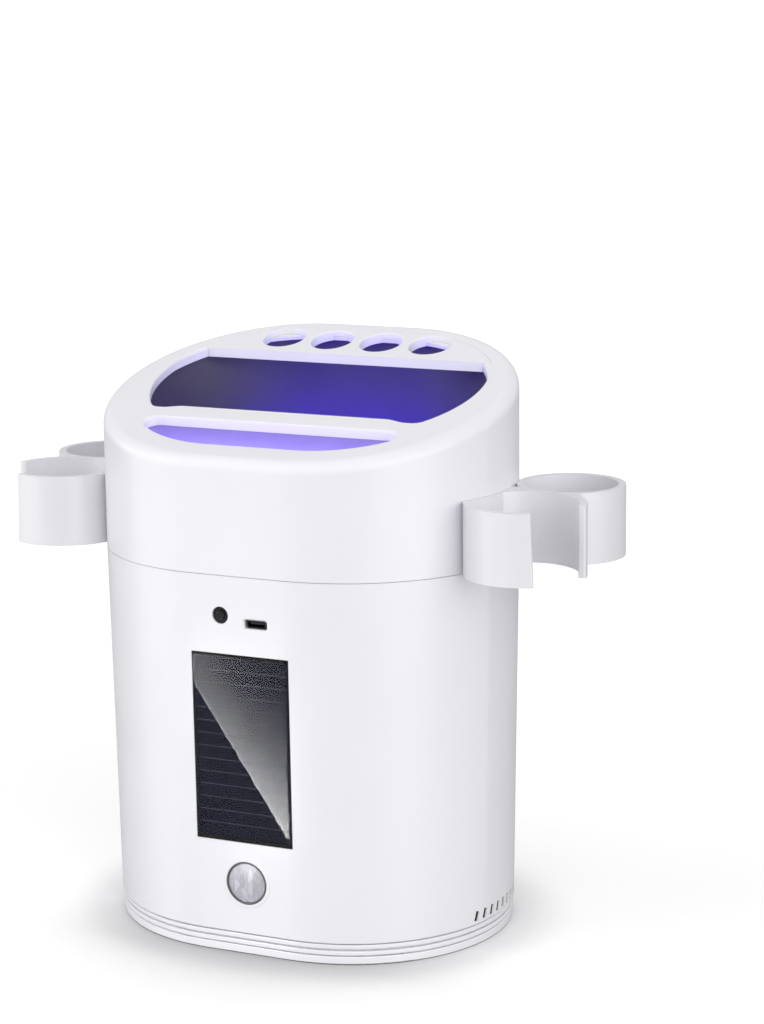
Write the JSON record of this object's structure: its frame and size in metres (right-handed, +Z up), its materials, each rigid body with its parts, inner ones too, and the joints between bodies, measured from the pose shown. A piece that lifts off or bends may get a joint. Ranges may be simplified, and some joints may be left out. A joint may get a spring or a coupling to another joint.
{
  "type": "chopstick sterilizer box",
  "caption": "Oval free-standing cutlery and chopstick sterilizer with a sloping open top, violet light slot, side hooks and a front solar panel.",
  "frame": {"origin": "centre of the underside", "axes": "+Z up, front face with the solar panel towards -Y, hooks towards +X and -X"},
  "size_m": [0.2366, 0.1248, 0.2202],
  "materials": {
    "shell_white": "satin white moulded shell",
    "rack_white": "satin white moulded hooks",
    "inner_white": "matte white internal moulding",
    "cup_white": "white moulded cup",
    "grey_rubber": "matte grip pad",
    "screw_steel": "zinc plated",
    "cell_sleeve": "shrink sleeve",
    "black_plastic": "matte black",
    "plated_contacts": "nickel plated",
    "board_green": "solder mask",
    "board_white": "white solder mask",
    "button_black": "satin black",
    "panel_glass": "clear flat cover",
    "solar_silicon": "dark blue silicon",
    "panel_black": "black backing",
    "bezel_grey": "light grey ring",
    "lens_pearl": "milky faceted lens",
    "led_violet": "lit violet",
    "window_violet": "milky diffuser, lit violet",
    "window_clear": "clear lamp window",
    "wire_insulation": "coloured insulation"
  },
  "bodies": {
    "base": {"lower_housing": "shell_white", "base_cap": "shell_white", "base_pad": "grey_rubber", "base_screws": "screw_steel", "inner_deck": "inner_white", "drip_tray": "inner_white", "battery_cells": "cell_sleeve", "battery_cradle": "black_plastic", "battery_contacts": "plated_contacts", "control_board": "board_green", "board_parts": "black_plastic", "board_screws": "screw_steel", "inlet_shell": "plated_contacts", "inlet_tongue": "black_plastic", "button_switch": "black_plastic", "solar_glass": "panel_glass", "solar_cells": "solar_silicon", "solar_backing": "panel_black", "sensor_bezel": "bezel_grey", "sensor_lens": "lens_pearl", "sensor_can": "plated_contacts", "sensor_board": "board_green", "lamp_bracket": "inner_white", "bracket_screws": "screw_steel", "lamp_board": "board_white", "lamp_leds": "led_violet", "slot_lamp_board": "board_white", "slot_lamp_leds": "led_violet", "wiring": "wire_insulation", "vent_screens": "black_plastic"},
    "top": {"top_cover": "shell_white", "utensil_cup": "cup_white", "cup_screws": "screw_steel", "lamp_window": "window_clear", "light_window": "window_violet", "rack_left": "rack_white", "rack_right": "rack_white"},
    "guide": {"chopstick_guide": "shell_white"},
    "button": {"power_button": "button_black", "switch_plunger": "black_plastic"}
  },
  "joints": [
    {"name": "top_lift", "type": "slide", "parent": "base", "child": "top", "axis": [0, 0, 1], "range_m": [0, 0.12]},
    {"name": "guide_lift", "type": "slide", "parent": "top", "child": "guide", "axis": [0, 0, 1], "range_m": [0, 0.03]},
    {"name": "button_press", "type": "slide", "parent": "base", "child": "button", "axis": [0, 1, 0], "range_m": [0, 0.0004], "stiffness_N_per_m": 800}
  ]
}
